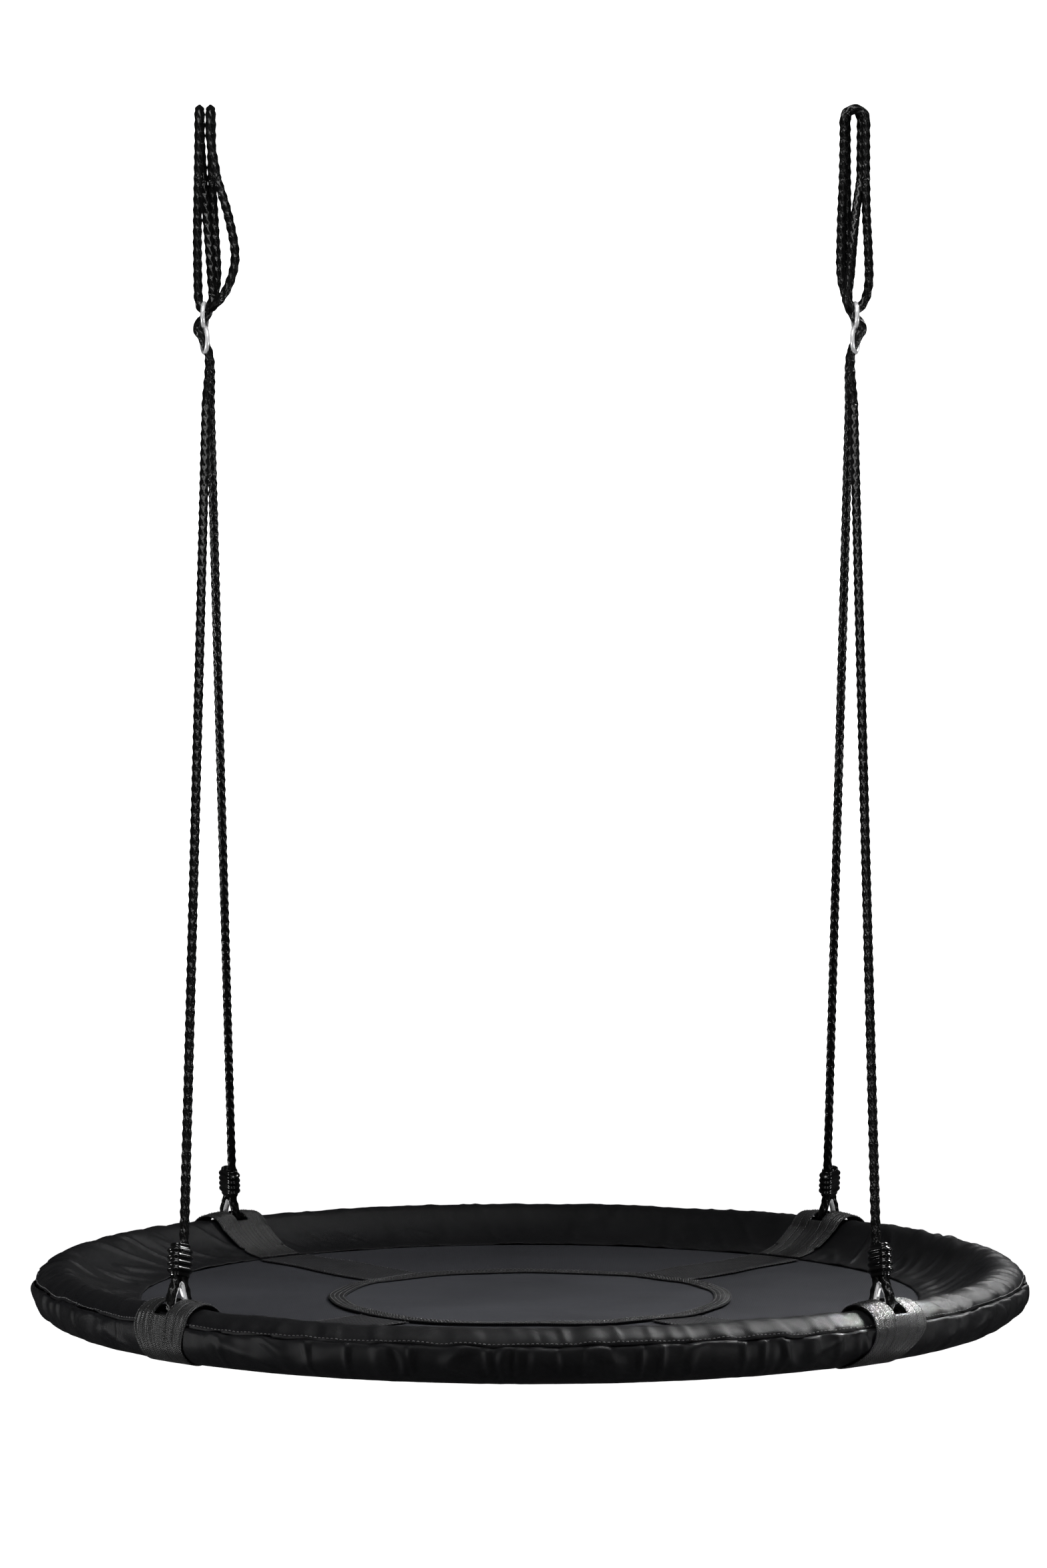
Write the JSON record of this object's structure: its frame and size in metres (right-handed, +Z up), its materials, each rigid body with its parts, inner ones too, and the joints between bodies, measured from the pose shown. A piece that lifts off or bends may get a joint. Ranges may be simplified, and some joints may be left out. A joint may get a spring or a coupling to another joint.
{
  "type": "nest swing",
  "caption": "Round padded nest swing: steel hoop in a gathered fabric rim, woven seat mat, webbing anchor straps, braided ropes with thimble eyes and ring adjusters.",
  "frame": {"origin": "midway between the two points where the rope loops hang on their hooks", "axes": "+Z up, +X along the line of the two hang points to the right, +Y to the back"},
  "size_m": [1.2, 1.2, 1.4615],
  "materials": {
    "rope": "braided plastic-fibre rope, slight sheen",
    "webbing": "woven webbing with stitch lines",
    "rim_fabric": "coated woven fabric, soft sheen",
    "mat_fabric": "open weave coated fabric",
    "foam": "closed-cell foam",
    "frame_steel": "bright drawn tube",
    "anchor_steel": "galvanised",
    "thimble_steel": "galvanised, bright",
    "adjuster_steel": "bright welded wire",
    "clamp_plastic": "ribbed moulded plastic"
  },
  "bodies": {
    "hook_bights": {"left_hook_bight_1": "rope", "left_hook_bight_2": "rope", "right_hook_bight_1": "rope", "right_hook_bight_2": "rope"},
    "hanger": {"left_standing_strand_1": "rope", "left_return_strand_1": "rope", "left_standing_strand_2": "rope", "left_return_strand_2": "rope", "right_standing_strand_1": "rope", "right_return_strand_1": "rope", "right_standing_strand_2": "rope", "right_return_strand_2": "rope"},
    "left_adjuster": {"left_adjuster_ring": "adjuster_steel", "left_return_bight": "rope"},
    "right_adjuster": {"right_adjuster_ring": "adjuster_steel", "right_return_bight": "rope"},
    "left_legs": {"front_left_leg": "rope", "front_left_rope_clamp": "clamp_plastic", "front_left_thimble": "thimble_steel", "back_left_leg": "rope", "back_left_rope_clamp": "clamp_plastic", "back_left_thimble": "thimble_steel"},
    "right_legs": {"front_right_leg": "rope", "front_right_rope_clamp": "clamp_plastic", "front_right_thimble": "thimble_steel", "back_right_leg": "rope", "back_right_rope_clamp": "clamp_plastic", "back_right_thimble": "thimble_steel"},
    "seat": {"frame_tube_front_left": "frame_steel", "frame_spigot_front_left": "frame_steel", "anchor_staple_front_left": "anchor_steel", "radial_strap_front_left": "webbing", "anchor_strap_front_left": "webbing", "frame_tube_front_right": "frame_steel", "frame_spigot_front_right": "frame_steel", "anchor_staple_front_right": "anchor_steel", "radial_strap_front_right": "webbing", "anchor_strap_front_right": "webbing", "frame_tube_back_left": "frame_steel", "frame_spigot_back_left": "frame_steel", "anchor_staple_back_left": "anchor_steel", "radial_strap_back_left": "webbing", "anchor_strap_back_left": "webbing", "frame_tube_back_right": "frame_steel", "frame_spigot_back_right": "frame_steel", "anchor_staple_back_right": "anchor_steel", "radial_strap_back_right": "webbing", "anchor_strap_back_right": "webbing", "foam_sleeve_back": "foam", "foam_sleeve_left": "foam", "foam_sleeve_front": "foam", "foam_sleeve_right": "foam", "rim_cover_top": "rim_fabric", "rim_cover_wall": "rim_fabric", "seat_mat": "mat_fabric", "centre_panel": "rim_fabric", "centre_binding": "webbing"}
  },
  "joints": [
    {"name": "swing", "type": "hinge", "parent": "hook_bights", "child": "hanger", "pos_m": [0, 0, 0], "axis": [1, 0, 0], "range_deg": [-50, 50], "deforming": ["left_standing_strand_1", "left_return_strand_1", "left_standing_strand_2", "left_return_strand_2", "right_standing_strand_1", "right_return_strand_1", "right_standing_strand_2", "right_return_strand_2"]},
    {"name": "sway", "type": "hinge", "parent": "hanger", "child": "left_legs", "pos_m": [-0.39239, 0, -0.3], "axis": [0, 1, 0], "range_deg": [-12, 12]},
    {"name": "right_sway", "type": "hinge", "parent": "hanger", "child": "right_legs", "pos_m": [0.39239, 0, -0.3], "axis": [0, 1, 0], "range_deg": [-12.5, 12.5]},
    {"name": "seat_level", "type": "hinge", "parent": "left_legs", "child": "seat", "pos_m": [-0.39239, 0, -1.3765], "axis": [0, 1, 0], "range_deg": [-12.5, 12.5]},
    {"name": "left_adjuster_slide", "type": "slide", "parent": "hanger", "child": "left_adjuster", "axis": [0, 0, 1], "range_m": [-0.012, 0.09], "deforming": ["left_return_bight"]},
    {"name": "right_adjuster_slide", "type": "slide", "parent": "hanger", "child": "right_adjuster", "axis": [0, 0, 1], "range_m": [-0.012, 0.09], "deforming": ["right_return_bight"]}
  ],
  "couplings": [
    {"joint": "right_sway", "follows": "sway", "ratio": 1},
    {"joint": "seat_level", "follows": "sway", "ratio": -1}
  ]
}
